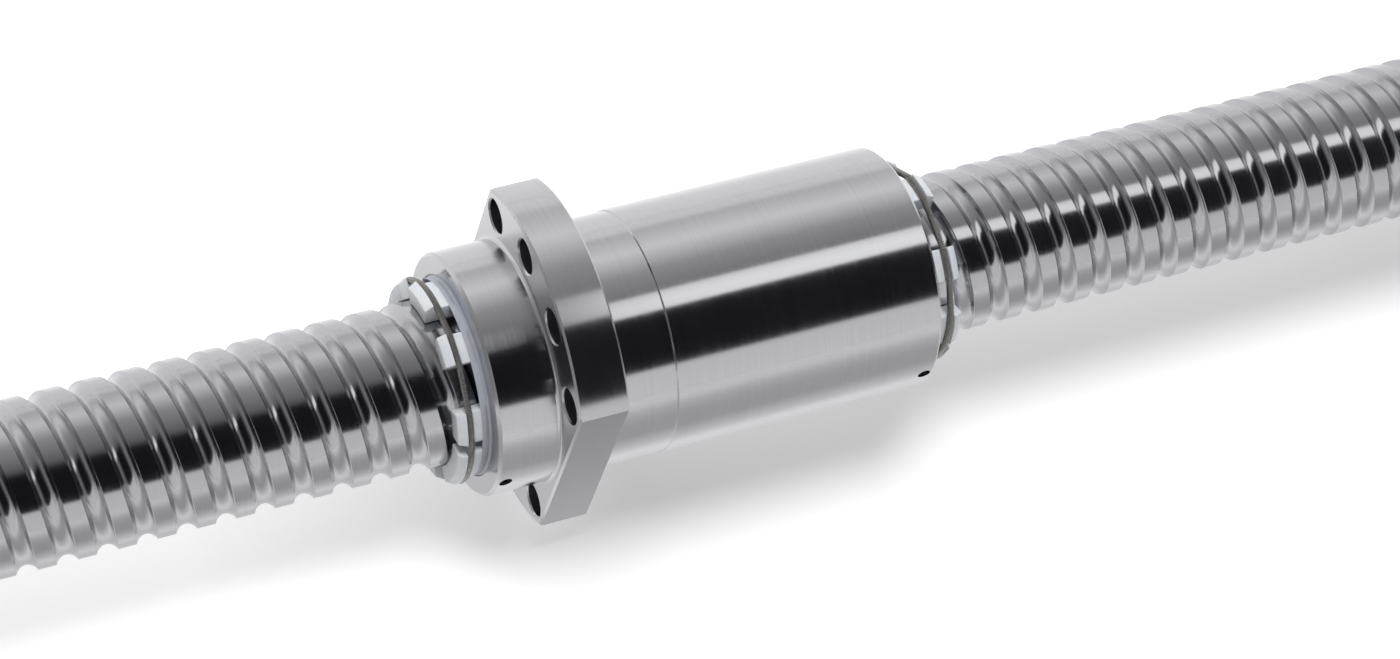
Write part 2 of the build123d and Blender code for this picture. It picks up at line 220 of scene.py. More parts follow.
def metalMaterial(name, look):
    # turned or ground metal: fine lines run round the screw's axis on cylinders and in rings on end faces
    material, tree = newMaterial(name)
    shader = tree.nodes["Principled BSDF"]
    shader.inputs["Metallic"].default_value = 1.0
    shader.inputs["Anisotropic"].default_value = look["anisotropy"]
    shader.inputs["Anisotropic Rotation"].default_value = 0.25  # a quarter turn, across the tangent
    place = addNode(tree, "ShaderNodeTexCoord").outputs["Object"]
    around = addNode(tree, "ShaderNodeVectorMath", {"operation": "CROSS_PRODUCT"}, {0: (1, 0, 0), 1: place})
    tree.links.new(around.outputs[0], shader.inputs["Tangent"])
    x, y, z = addNode(tree, "ShaderNodeSeparateXYZ", links={0: place}).outputs
    ySquare = addNode(tree, "ShaderNodeMath", {"operation": "MULTIPLY"}, {0: y, 1: y})
    zSquare = addNode(tree, "ShaderNodeMath", {"operation": "MULTIPLY"}, {0: z, 1: z})
    squares = addNode(tree, "ShaderNodeMath", {"operation": "ADD"}, {0: ySquare, 1: zSquare})
    radius = addNode(tree, "ShaderNodeMath", {"operation": "SQRT"}, {0: squares})
    turn = addNode(tree, "ShaderNodeMath", {"operation": "ARCTAN2"}, {0: z, 1: y})
    slow = addNode(tree, "ShaderNodeMath", {"operation": "MULTIPLY"}, {0: turn, 1: look["lineWander"]})
    rolled = addNode(tree, "ShaderNodeCombineXYZ", links={0: x, 1: radius, 2: slow})
    scale = 1 / (look["lineSpacing"] * mm)
    grid = addNode(tree, "ShaderNodeMapping", links={"Vector": rolled, "Scale": (scale, scale, 1.0)})
    lines = addNode(tree, "ShaderNodeTexNoise",
                    links={"Vector": grid, "Scale": 1.0, "Detail": 2.0, "Roughness": 0.6})
    cloud = addNode(tree, "ShaderNodeTexNoise",
                    links={"Vector": place, "Scale": 1 / (look["cloudSize"] * mm), "Detail": 3.0})
    both = addNode(tree, "ShaderNodeMix", {"data_type": "FLOAT"},
                   {0: look["cloudShare"], 2: lines, 3: cloud})
    paintSurface(tree, shader, look, both, both)
    bump = addNode(tree, "ShaderNodeBump",
                   links={"Strength": look["lineDepth"], "Distance": metalBump * mm, "Height": lines})
    tree.links.new(bump.outputs[0], shader.inputs["Normal"])
    return material


def mouldedMaterial(name, look):
    # moulded or machined plastic and rubber: an even body with a faint mottled sheen
    material, tree = newMaterial(name)
    shader = tree.nodes["Principled BSDF"]
    shader.inputs["IOR"].default_value = look["ior"]
    if look.get("milky"):
        shader.inputs["Subsurface Weight"].default_value = look["milky"]
        shader.inputs["Subsurface Radius"].default_value = (1.0, 1.0, 1.0)
        shader.inputs["Subsurface Scale"].default_value = 1.2 * mm
    place = addNode(tree, "ShaderNodeTexCoord").outputs["Object"]
    grain = addNode(tree, "ShaderNodeTexNoise",
                    links={"Vector": place, "Scale": 1 / (look["grainSize"] * mm), "Detail": 4.0})
    cloud = addNode(tree, "ShaderNodeTexNoise",
                    links={"Vector": place, "Scale": 1 / (look["cloudSize"] * mm), "Detail": 2.0})
    paintSurface(tree, shader, look, grain, cloud)
    bump = addNode(tree, "ShaderNodeBump",
                   links={"Strength": look["grainDepth"], "Distance": mouldedBump * mm, "Height": grain})
    tree.links.new(bump.outputs[0], shader.inputs["Normal"])
    return material


# real grinding and turning lines are finer than a render shows, so each lineSpacing is as coarse as it needs

# hardened bearing steel, ground after hardening: bright, with the finest lines round it
groundScrewSteel = metalMaterial("ground_screw_steel", {
    "colours": ("b2b2b6", "c4c4c8"), "roughness": (0.13, 0.21), "anisotropy": 0.6,
    "lineSpacing": 0.35, "lineWander": 0.6, "lineDepth": 0.10, "cloudSize": 14.0, "cloudShare": 0.25})
# the nut's cylinder, ground to a fit: crisp reflections, drawn out along the axis
groundNutSteel = metalMaterial("ground_nut_steel", {
    "colours": ("bbbbbe", "cccccf"), "roughness": (0.13, 0.21), "anisotropy": 0.75,
    "lineSpacing": 0.30, "lineWander": 0.5, "lineDepth": 0.12, "cloudSize": 20.0, "cloudShare": 0.25})
# the flange, fine turned and milled: duller, its tool lines can be seen
turnedFlangeSteel = metalMaterial("turned_flange_steel", {
    "colours": ("bcbcbf", "cdcdd0"), "roughness": (0.15, 0.24), "anisotropy": 0.75,
    "lineSpacing": 0.35, "lineWander": 0.5, "lineDepth": 0.12, "cloudSize": 16.0, "cloudShare": 0.3})
# the flange's two flats, milled: a matt grey with short irregular strokes
milledFlatSteel = metalMaterial("milled_flat_steel", {
    "colours": ("8f8f92", "a8a8ab"), "roughness": (0.30, 0.44), "anisotropy": 0.2,
    "lineSpacing": 0.45, "lineWander": 9.0, "lineDepth": 0.55, "cloudSize": 6.0, "cloudShare": 0.3})
# drilled hole walls: painted darker grey for the shade inside the holes
holeSteelPaintedShade = metalMaterial("hole_steel_painted_shade", {
    "colours": ("707074", "808084"), "roughness": (0.34, 0.50), "anisotropy": 0.0,
    "lineSpacing": 0.40, "lineWander": 0.5, "lineDepth": 0.30, "cloudSize": 5.0, "cloudShare": 0.4})
# bearing rings: honed, almost mirror bright
honedRingSteel = metalMaterial("honed_ring_steel", {
    "colours": ("c6c7c9", "d4d5d6"), "roughness": (0.10, 0.16), "anisotropy": 0.4,
    "lineSpacing": 0.4, "lineWander": 0.4, "lineDepth": 0.08, "cloudSize": 18.0, "cloudShare": 0.3})
# black oxide: a thin dark skin on turned steel, a little oily
blackOxideSteel = metalMaterial("black_oxide_steel", {
    "colours": ("26272a", "35363a"), "roughness": (0.28, 0.42), "anisotropy": 0.0,
    "lineSpacing": 0.5, "lineWander": 0.8, "lineDepth": 0.15, "cloudSize": 6.0, "cloudShare": 0.5})
# plain pressed or drawn steel: grey and satin
plainPressedSteel = metalMaterial("plain_pressed_steel", {
    "colours": ("9c9da0", "b2b3b5"), "roughness": (0.24, 0.36), "anisotropy": 0.0,
    "lineSpacing": 0.6, "lineWander": 0.9, "lineDepth": 0.10, "cloudSize": 5.0, "cloudShare": 0.6})
# patented spring wire, drawn: mid grey with a brown cast
drawnSpringWire = metalMaterial("drawn_spring_wire", {
    "colours": ("a09e9a", "bab8b4"), "roughness": (0.20, 0.30), "anisotropy": 0.0,
    "lineSpacing": 0.4, "lineWander": 0.9, "lineDepth": 0.05, "cloudSize": 3.0, "cloudShare": 0.6})
# chrome steel balls, lapped
lappedBallSteel = metalMaterial("lapped_ball_steel", {
    "colours": ("d6d7d8", "dedfe0"), "roughness": (0.04, 0.07), "anisotropy": 0.0,
    "lineSpacing": 0.5, "lineWander": 0.9, "lineDepth": 0.0, "cloudSize": 4.0, "cloudShare": 0.9})
# natural acetal, machined: milky white with a cold cast and a soft gloss
naturalAcetal = mouldedMaterial("natural_acetal", {
    "colours": ("cdd5e0", "e6e5e1"), "roughness": (0.26, 0.38), "ior": 1.48, "milky": 0.35,
    "grainSize": 0.5, "cloudSize": 7.0, "grainDepth": 0.15})
# the same acetal in its steel seat, painted greyer and darker: painted shade on the ring
paintedShadeAcetal = mouldedMaterial("acetal_painted_shade", {
    "colours": ("9da3ae", "b7bbc3"), "roughness": (0.26, 0.38), "ior": 1.48, "milky": 0.35,
    "grainSize": 0.5, "cloudSize": 7.0, "grainDepth": 0.15})
# glass-filled nylon, moulded: near black, slightly mottled
filledNylon = mouldedMaterial("filled_nylon", {
    "colours": ("2f3134", "3a3c40"), "roughness": (0.42, 0.58), "ior": 1.53,
    "grainSize": 0.4, "cloudSize": 4.0, "grainDepth": 0.25})
# nitrile seal rubber: black and matt
nitrileRubber = mouldedMaterial("nitrile_rubber", {
    "colours": ("1b1b1d", "242427"), "roughness": (0.55, 0.70), "ior": 1.52,
    "grainSize": 0.6, "cloudSize": 5.0, "grainDepth": 0.2})
print("materials made")


# screw: the thread is a grid bent round the axis, with its rows running along the grooves

thread = {
    "Land radius": 31.5,
    "Lead": 30.0,
    "Starts": 2.0,
    "Groove phase": 6.1,
    "Start": -254.0,
    "End": 406.0,
    "Seat radius": 25.0,
    "End chamfer": 1.5,
    "Ball circle radius": 33.0,
    "Arch radius": 4.6226,
    "Arch offset": 0.25,
    "Edge rounding": 0.22,
    "Rows in a pitch": 24,
    "Columns": 84,
    "Side": -1.0,
}
# where the rows lie: shares of half a pitch's rows, and of half a pitch, from the groove's middle
rowSpread = ((7 / 12, 3.82 / 7.5), (8 / 12, 3.97 / 7.5), (9 / 12, 4.12 / 7.5), (10 / 12, 4.45 / 7.5))


def threadGroup():
    group, given, output = newGroup("gothicThread", {
        "Float": ("Land radius", "Lead", "Starts", "Start", "End", "Seat radius", "End chamfer",
                  "Ball circle radius", "Arch radius", "Arch offset", "Edge rounding", "Side", "First row"),
        "Int": ("Rows in a pitch", "Columns", "Pitches"), "Material": ("Material",)})
    grid = addNode(group, "GeometryNodeMeshGrid", links={"Size X": 1.0, "Size Y": 1.0})
    place = addNode(group, "GeometryNodeInputPosition")
    cells = addNode(group, "ShaderNodeSeparateXYZ", links={0: place})
    spread = addNode(group, "ShaderNodeFloatCurve", links={0: 1.0})
    curve = spread.mapping.curves[0]
    for share, distance in rowSpread:
        curve.points.new(share, distance)
    for point in curve.points:
        point.handle_type = "VECTOR"
    spread.mapping.update()
    radius = addNode(group, "ShaderNodeMix", {"data_type": "FLOAT"}, {3: given.outputs["Seat radius"]})
    known = {"across": cells.outputs[0], "round": cells.outputs[1], "spread": spread, "radius": radius}
    known.update((socket.name, socket) for socket in given.outputs)
    steps = (
        ("pitch", "DIVIDE", "Lead", "Starts"),
        ("rows", "MULTIPLY_ADD", "Rows in a pitch", "Pitches", 1.0),
        ("columns", "ADD", "Columns", 1.0),
        ("last row", "SUBTRACT", "rows", 1.0),
        ("across from edge", "ADD", "across", 0.5),
        ("unrounded row", "MULTIPLY", "across from edge", "last row"),
        ("row", "ROUND", "unrounded row"),
        ("turn", "ADD", "round", 0.5),
        # rows crowd towards the groove's edges: the curve gives each one's distance from its middle
        ("row share", "DIVIDE", "row", "Rows in a pitch"),
        ("whole pitch", "ROUND", "row share"),
        ("rest of share", "SUBTRACT", "row share", "whole pitch"),
        ("signed share", "MULTIPLY", "rest of share", 2.0),
        ("share", "ABSOLUTE", "signed share"),
        ("half pitch", "MULTIPLY", "pitch", 0.5),
        ("distance", "MULTIPLY", "spread", "half pitch"),
        ("sign", "SIGN", "signed share"),
        ("offset", "MULTIPLY", "distance", "sign"),
        ("groove x", "MULTIPLY_ADD", "whole pitch", "pitch", "First row"),
        ("turned x", "MULTIPLY_ADD", "turn", "Lead", "offset"),
        ("free x", "ADD", "groove x", "turned x"),
        ("x past start", "MAXIMUM", "free x", "Start"),
        ("x", "MINIMUM", "x past start", "End"),
        # distance from the nearest groove's middle, also where a row was stopped at an end
        ("x from first", "SUBTRACT", "x", "First row"),
        ("climb", "MULTIPLY", "turn", "Lead"),
        ("along", "SUBTRACT", "x from first", "climb"),
        ("pitches", "DIVIDE", "along", "pitch"),
        ("nearest", "ROUND", "pitches"),
        ("pitches away", "SUBTRACT", "pitches", "nearest"),
        ("signed away", "MULTIPLY", "pitches away", "pitch"),
        ("away", "ABSOLUTE", "signed away"),
        # the arch's height there, then the land and the groove joined by a rounded edge
        ("reach", "ADD", "away", "Arch offset"),
        ("arch square", "MULTIPLY", "Arch radius", "Arch radius"),
        ("reach square", "MULTIPLY", "reach", "reach"),
        ("square left", "SUBTRACT", "arch square", "reach square"),
        ("height square", "MAXIMUM", "square left", 0.0),
        ("height from offset", "SQRT", "height square"),
        ("height", "SUBTRACT", "height from offset", "Arch offset"),
        ("groove", "MULTIPLY_ADD", "Side", "height", "Ball circle radius"),
        ("flip", "MULTIPLY", "Side", -1.0),
        ("flipped land", "MULTIPLY", "flip", "Land radius"),
        ("flipped groove", "MULTIPLY", "flip", "groove"),
        ("joined", "SMOOTH_MIN", "flipped land", "flipped groove", "Edge rounding"),
        ("surface", "MULTIPLY", "flip", "joined"),
        # a chamfer at each end
        ("from start", "SUBTRACT", "x", "Start"),
        ("to end", "SUBTRACT", "End", "x"),
        ("from nearer end", "MINIMUM", "from start", "to end"),
        ("chamfer foot", "SUBTRACT", "Land radius", "End chamfer"),
        ("chamfer", "ADD", "from nearer end", "chamfer foot"),
        ("shaped", "MINIMUM", "surface", "chamfer"),
        # the first and last rows drop to the seat, which closes the thread's end faces
        ("is first", "COMPARE", "row", 0.0, 0.4),
        ("is last", "COMPARE", "row", "last row", 0.4),
        ("is end", "ADD", "is first", "is last"),
        ("angle", "MULTIPLY", "turn", 2 * math.pi),
        ("cosine", "COSINE", "angle"),
        ("sine", "SINE", "angle"),
        ("y", "MULTIPLY", "radius", "cosine"),
        ("z", "MULTIPLY", "radius", "sine"),
        ("x in metres", "MULTIPLY", "x", mm),
        ("y in metres", "MULTIPLY", "y", mm),
        ("z in metres", "MULTIPLY", "z", mm),
    )
    for name, operation, *values in steps:
        links = {number: known.get(value, value) for number, value in enumerate(values)}
        known[name] = addNode(group, "ShaderNodeMath", {"operation": operation, "label": name}, links)
    ends = {"rows": grid.inputs["Vertices X"], "columns": grid.inputs["Vertices Y"],
            "share": spread.inputs[1], "is end": radius.inputs[0], "shaped": radius.inputs[2]}
    for name, socket in ends.items():
        group.links.new(known[name].outputs[0], socket)
    point = addNode(group, "ShaderNodeCombineXYZ", links={
        0: known["x in metres"], 1: known["y in metres"], 2: known["z in metres"]})
    bent = addNode(group, "GeometryNodeSetPosition", links={"Geometry": grid, "Position": point})
    merged = addNode(group, "GeometryNodeMergeByDistance",
                     links={"Geometry": bent, "Distance": 2 * mergeDistance})
    finishGroup(group, merged, known["Material"], output)
    return group


def threadPiece(name, group, sizes, material):
    values = {key: value for key, value in sizes.items() if key != "Groove phase"}
    pitch = sizes["Lead"] / sizes["Starts"]
    before = math.floor((sizes["Start"] - sizes["Lead"] - pitch - sizes["Groove phase"]) / pitch)
    values["First row"] = sizes["Groove phase"] + before * pitch
    values["Pitches"] = math.ceil((sizes["End"] + pitch - values["First row"]) / pitch)
    values["Material"] = material
    return grownPiece(name, group, values)


shaft = {
    "seatRadius": 25.0, "journalRadius": 20.0, "centreRadius": 4.0, "edge": 0.8, "overlap": 6.0,
    "floatEnd": -280.0, "clipStart": -276.0, "clipEnd": -274.0, "clipDepth": 1.5,
    "reliefStart": 453.0, "reliefDepth": 1.2, "reliefSlope": 0.8,
    "journalStart": 456.0, "journalEnd": 526.0, "shoulderEdge": 0.6,
    "keyWidth": 12.0, "keyLength": 50.0, "keyHeight": 8.0, "keySeat": 5.0, "keyFromEnd": 10.0,
    "keyAngle": 67.5, "keyBevel": 0.4, "keyLift": 0.02, "keyPlay": 0.03,
}


def stadium(length, width, steps=16):
    # a round-ended outline about its own middle
    radius = width / 2
    points = []
    for side, first in ((1, -90), (-1, 90)):
        for i in range(steps + 1):
            turn = math.radians(first + 180 * i / steps)
            points.append((side * (length / 2 - radius) + radius * math.cos(turn), radius * math.sin(turn)))
    return points


def keyData(low, high, grow=0.0, bevel=0.0):
    middle = shaft["journalEnd"] - shaft["keyFromEnd"] - shaft["keyLength"] / 2
    loops = []
    for z, inset in ((low, bevel), (low + bevel, 0.0), (high - bevel, 0.0), (high, bevel)):
        more = 2 * grow - 2 * inset
        outline = stadium(shaft["keyLength"] + more, shaft["keyWidth"] + more)
        turn = Matrix.Rotation(math.radians(shaft["keyAngle"] - 90), 3, "X")
        loops.append([tuple(turn @ Vector((middle + x, y, z)) * mm) for x, y in outline])
    return loopData(loops)


def loopData(loops):
    # closed loops of equal length joined by side faces, with an end face on the first and last
    count = len(loops[0])
    vertices = [point for loop in loops for point in loop]
    faces = [tuple(range(count - 1, -1, -1)), tuple(range((len(loops) - 1) * count, len(loops) * count))]
    for level in range(len(loops) - 1):
        a, b = level * count, (level + 1) * count
        faces += [(a + i, a + (i + 1) % count, b + (i + 1) % count, b + i) for i in range(count)]
    return vertices, faces


def buildShaft(group):
    piece = threadPiece("screw_thread", group, thread, groundScrewSteel)
    tidyMesh(piece, 40.0)
    s = shaft
    seat, journal, centre, edge = s["seatRadius"], s["journalRadius"], s["centreRadius"], s["edge"]
    clip, relief, shoulder = seat - s["clipDepth"], seat - s["reliefDepth"], s["shoulderEdge"]
    inside = thread["Start"] + s["overlap"]  # the ends reach into the thread
    floatSide = [(s["floatEnd"] + centre, 0.0), (s["floatEnd"], centre), (s["floatEnd"], seat - edge),
                 (s["floatEnd"] + edge, seat), (s["clipStart"], seat), (s["clipStart"], clip),
                 (s["clipEnd"], clip), (s["clipEnd"], seat), (inside, seat), (inside, 0.0)]
    inside = thread["End"] - s["overlap"]
    driveSide = [(inside, 0.0), (inside, seat), (s["reliefStart"], seat),
                 (s["reliefStart"] + s["reliefSlope"], relief), (s["journalStart"], relief),
                 (s["journalStart"], journal + shoulder), (s["journalStart"] + shoulder, journal),
                 (s["journalEnd"] - edge, journal), (s["journalEnd"], journal - edge),
                 (s["journalEnd"], centre), (s["journalEnd"] - centre, 0.0)]
    floating = tidyMesh(meshObject("float_end", *latheData(floatSide, 160), groundScrewSteel))
    drive = tidyMesh(meshObject("drive_end", *latheData(driveSide, 160), groundScrewSteel))
    keyway = keyData(journal - s["keySeat"], journal + 4, grow=s["keyPlay"])
    cutWith(drive, tidyMesh(meshObject("key_cutter", *keyway, groundScrewSteel)))
    tidyMesh(drive)
    return joinPieces(piece, [floating, drive], groundScrewSteel)


def joinPieces(target, others, material):
    # one mesh of one material
    work = bmesh.new()
    for part in [target] + others:
        work.from_mesh(part.data)
    work.to_mesh(target.data)
    work.free()
    for part in others:
        bpy.data.objects.remove(part)
    target.data.materials.clear()
    target.data.materials.append(material)
    target.data.polygons.foreach_set("material_index", [0] * len(target.data.polygons))
    target.data.update()
    return target


gothicThread = threadGroup()
screw = buildShaft(gothicThread)
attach(screw, "screw")
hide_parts("screw_shaft")
print("screw made:", len(screw.data.polygons), "faces")

keySeat = shaft["journalRadius"] - shaft["keySeat"]
driveKey = meshObject("drive_key_bar", *keyData(keySeat + shaft["keyLift"], keySeat + shaft["keyHeight"],
                                                bevel=shaft["keyBevel"]), plainPressedSteel)
tidyMesh(driveKey)
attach(driveKey, "screw")
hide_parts("drive_key")


# nut

nut = {
    "radius": 47.5, "collarRadius": 47.0, "front": -44.4, "rear": 136.3, "edge": 1.2, "bandEnd": 26.5,
    "bandDepth": 0.5, "bore": 32.1, "wiperSeat": 39.0, "wiperDepth": 22.0, "fillet": 1.5, "undercut": 0.5,
    "flangeRadius": 67.5, "flangeFlats": 100.0, "flangeThickness": 20.0, "flangeEdge": 0.8,
    "boltCircle": 57.5, "boltRadius": 6.75, "boltEdge": 0.6, "boltAngles": (-45.0, -15.0, 15.0, 45.0),
    "screwHoleRadius": 2.55, "screwHoleFromFace": 4.0, "portX": -10.0, "portRadius": 3.5, "portDepth": 14.0,
}
arcMiddles = (90.0, 270.0)  # of the flange's two arcs


def filletPoints(cornerX, cornerR, size, steps=6):
    # a hollow corner between the collar and the flange's front face
    points = []
    for i in range(steps + 1):
        turn = math.radians(90 * i / steps)
        points.append((cornerX - size + size * math.sin(turn), cornerR + size - size * math.cos(turn)))
    return points


def buildNutBody():
    n = nut
    front, rear, radius, collar = n["front"], n["rear"], n["radius"], n["collarRadius"]
    edge, seat, bore, depth = n["edge"], n["wiperSeat"], n["bore"], n["wiperDepth"]
    band, flangeFront = radius - n["bandDepth"], -n["flangeThickness"]
    outline = [(front, seat), (front, collar - edge), (front + edge, collar)]
    outline += filletPoints(flangeFront, collar, n["fillet"])
    # inside the flange the barrel is a little wider, so that the two overlap
    outline += [(flangeFront + 2.0, collar + n["fillet"]), (-2.0, radius + 1.0), (-0.02, radius - 0.5),
                (n["undercut"], radius - 0.5), (n["undercut"] + 0.2, band),
                (n["bandEnd"], band), (n["bandEnd"] + n["bandDepth"], radius),
                (rear - edge, radius), (rear, radius - edge), (rear, seat), (rear - depth, seat),
                (rear - depth, bore), (front + depth, bore), (front + depth, seat)]
    body = tidyMesh(meshObject("nut_barrel", *latheData(outline, 256), groundNutSteel))
    holes = ([], [])
    for x in (front + n["screwHoleFromFace"], rear - n["screwHoleFromFace"]):
        for angle in (0.0, 180.0):
            addData(holes, radialPin(x, angle, n["screwHoleRadius"], seat - 1, radius + 1))
    cutWith(body, tidyMesh(meshObject("screw_hole_cutter", *holes, groundNutSteel)))
    return tidyMesh(body)


def radialPin(x, angle, radius, low, high, steps=32):
    # a round pin that points away from the screw's axis
    turn = math.radians(angle)
    out = Vector((0, math.cos(turn), math.sin(turn)))
    side = Vector((0, -math.sin(turn), math.cos(turn)))
    loops = []
    for distance in (low, high):
        loop = []
        for i in range(steps):
            a = 2 * math.pi * i / steps
            middle = Vector((x, 0, 0)) + out * distance
            point = middle + Vector((1, 0, 0)) * radius * math.cos(a) + side * radius * math.sin(a)
            loop.append(tuple(point * mm))
        loops.append(loop)
    return loopData(loops)


def flangeOutline(inset=0.0, steps=72):
    # the disc with its two flats, as (y, z) points
    radius = nut["flangeRadius"] - inset
    flat = nut["flangeFlats"] / 2 - inset
    corner = math.degrees(math.acos(flat / radius))
    points = []
    for middle in arcMiddles:
        first, last = middle - (90 - corner), middle + (90 - corner)
        for i in range(steps + 1):
            turn = math.radians(first + (last - first) * i / steps)
            points.append((radius * math.cos(turn), radius * math.sin(turn)))
    return points


def circlePoints(y, z, radius, steps=48):
    turns = [2 * math.pi * i / steps for i in range(steps)]
    return [(y + radius * math.cos(turn), z + radius * math.sin(turn)) for turn in turns]


def boltMiddles():
    turns = [math.radians(middle + offset) for middle in arcMiddles for offset in nut["boltAngles"]]
    return [(nut["boltCircle"] * math.cos(turn), nut["boltCircle"] * math.sin(turn)) for turn in turns]


def buildFlange():
    n = nut
    front, rear = -n["flangeThickness"], 0.0
    work = bmesh.new()

    def addLoop(points, x):
        return [work.verts.new((x * mm, y * mm, z * mm)) for y, z in points]

    def bridge(a, b):
        for i in range(len(a)):
            k = (i + 1) % len(a)
            work.faces.new((a[i], a[k], b[k], b[i]))

    def wall(outlineAt, edge):
        # a rim or hole wall with its two edges broken; returns its front and rear loops
        loops = [addLoop(outlineAt(edge), front), addLoop(outlineAt(0.0), front + edge),
                 addLoop(outlineAt(0.0), rear - edge), addLoop(outlineAt(edge), rear)]
        for a, b in zip(loops, loops[1:]):
            bridge(a, b)
        return loops[0], loops[-1]

    rims = [wall(flangeOutline, n["flangeEdge"])]
    for y, z in boltMiddles():
        rims.append(wall(lambda grow, y=y, z=z: circlePoints(y, z, n["boltRadius"] + grow), n["boltEdge"]))
    # the bore that the barrel fills, 1 mm inside its surface
    rims.append(wall(lambda inset: circlePoints(0.0, 0.0, n["radius"] - 1.0, 128), 0.0001))
    for end in (0, 1):
        edges = []
        for loops in rims:
            loop = loops[end]
            edges += [work.edges.get((loop[i], loop[(i + 1) % len(loop)])) for i in range(len(loop))]
        bmesh.ops.triangle_fill(work, use_beauty=True, use_dissolve=False, edges=edges)
    mesh = bpy.data.meshes.new("nut_flange")
    work.to_mesh(mesh)
    work.free()
    mesh.materials.append(turnedFlangeSteel)
    piece = tidyMesh(newObject("nut_flange", mesh))
    port = radialPin(n["portX"], arcMiddles[1], n["portRadius"], n["flangeRadius"] - n["portDepth"],
                     n["flangeRadius"] + 2)
    cutWith(piece, tidyMesh(meshObject("port_cutter", *port, turnedFlangeSteel)))
    tidyMesh(piece)
    # the bolt hole walls get the darker steel, which is painted shade
    flats, holes = 1, 2
    piece.data.materials.append(milledFlatSteel)
    piece.data.materials.append(holeSteelPaintedShade)
    for face in piece.data.polygons:
        x, y, z = face.center / mm
        fromBolt = min(math.hypot(y - b, z - c) for b, c in boltMiddles())
        if abs(face.normal.y) > 0.999 and abs(y) > n["flangeFlats"] / 2 - 0.01:
            face.material_index = flats
        elif abs(face.normal.x) < 0.1 and fromBolt < n["boltRadius"] + 0.1:
            face.material_index = holes
    return piece


nutBarrel = buildNutBody()
nutFlange = buildFlange()
for piece in (nutBarrel, nutFlange):
    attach(piece, "nut")
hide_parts("nut_body")
print("nut made")


# wipers: a ring in the nut's seat and separate fingers that a garter spring presses on the screw

wiper = {
    "seat": 38.95, "inner": 31.9, "depth": 22.0, "rim": 0.8, "ringWall": 1.5, "mouth": 0.3,
    "fingerRadius": 38.4, "fingerRoot": 3.4, "fingerLength": 12.8, "lipRadius": 40.0, "tipBevel": 2.0,
    "slotDepth": 2.0, "springHeight": 8.0, "grooveHalf": 1.45, "grooveFloor": 37.3, "softEdge": 0.3,
    # the fingers of one start: middle and width in degrees
    "front": ((58.0, 28.0), (99.5, 18.0), (145.5, 20.0), (185.0, 44.0)),
    "rear": ((18.0, 20.0), (69.0, 20.0), (120.5, 19.0), (164.0, 24.0)),
}


def buildWiper(name, face, outward, fingers):
    w = wiper
    seat, inner, root, finger = w["seat"], w["inner"], w["fingerRoot"], w["fingerRadius"]
    foot, slot, mouth, wall = 0.05 - w["depth"], -w["slotDepth"], w["mouth"], seat - w["ringWall"]
    coil, half, groove = w["springHeight"], w["grooveHalf"], w["grooveFloor"]

    def at(height, radius):
        return (face + outward * height, radius)

    ringProfile = [at(foot, inner), at(foot, seat), at(-mouth, seat), at(w["rim"], seat - mouth - w["rim"]),
                   at(root, finger + 0.02), at(root, wall + 0.4), at(root - 0.4, wall),
                   at(slot + 0.5, wall), at(slot, wall - 0.5), at(slot, inner)]
    bulk = ([], [])
    addData(bulk, latheData(ringProfile, 160))
    fingerProfile = [at(slot - 1.0, inner + 0.02), at(slot - 1.0, wall + 0.5), at(root - 0.6, wall + 0.5),
                     at(root - 0.1, finger), at(coil - half, finger), at(coil - half * 0.7, groove),
                     at(coil + half * 0.8, groove), at(coil + half, w["lipRadius"]),
                     at(w["fingerLength"], w["lipRadius"] - w["tipBevel"]),
                     at(w["fingerLength"], inner + 0.02)]
    for start in (0.0, 180.0):
        for middle, width in fingers:
            first, last = start + middle - width / 2, start + middle + width / 2
            addData(bulk, latheData(fingerProfile, max(6, round(width / 2)), first, last))
    piece = meshObject(name, *bulk, naturalAcetal)
    tidyMesh(piece, 25.0)
    soft = piece.modifiers.new("soft edges", "BEVEL")
    soft.width = w["softEdge"] * mm
    soft.segments = 2
    soft.limit_method = "ANGLE"
    soft.angle_limit = math.radians(40)
    soft.use_clamp_overlap = True
    bakeModifiers(piece)
    tidyMesh(piece, 40.0)
    # the ring in the seat gets the greyer copy of the acetal, which is painted shade
    piece.data.materials.append(paintedShadeAcetal)
    for polygon in piece.data.polygons:
        if outward * (polygon.center.x / mm - face) < w["fingerRoot"] + 0.05:
            polygon.material_index = 1
    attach(piece, "nut")
    return piece


frontWiper = buildWiper("wiper_front", nut["front"], -1, wiper["front"])
rearWiper = buildWiper("wiper_rear", nut["rear"], 1, wiper["rear"])
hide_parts("front_wiper")
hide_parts("rear_wiper")
print("wipers made")


# garter springs: a fine wire wound round a line that follows the fingers and runs straight across the gaps

# the wire is thicker than a real one's, so that its turns show
spring = {"Coil radius": 0.95, "Wire radius": 0.40, "Turns": 255, "Points in a turn": 10}
springRadius = 38.7  # of the coil's middle line


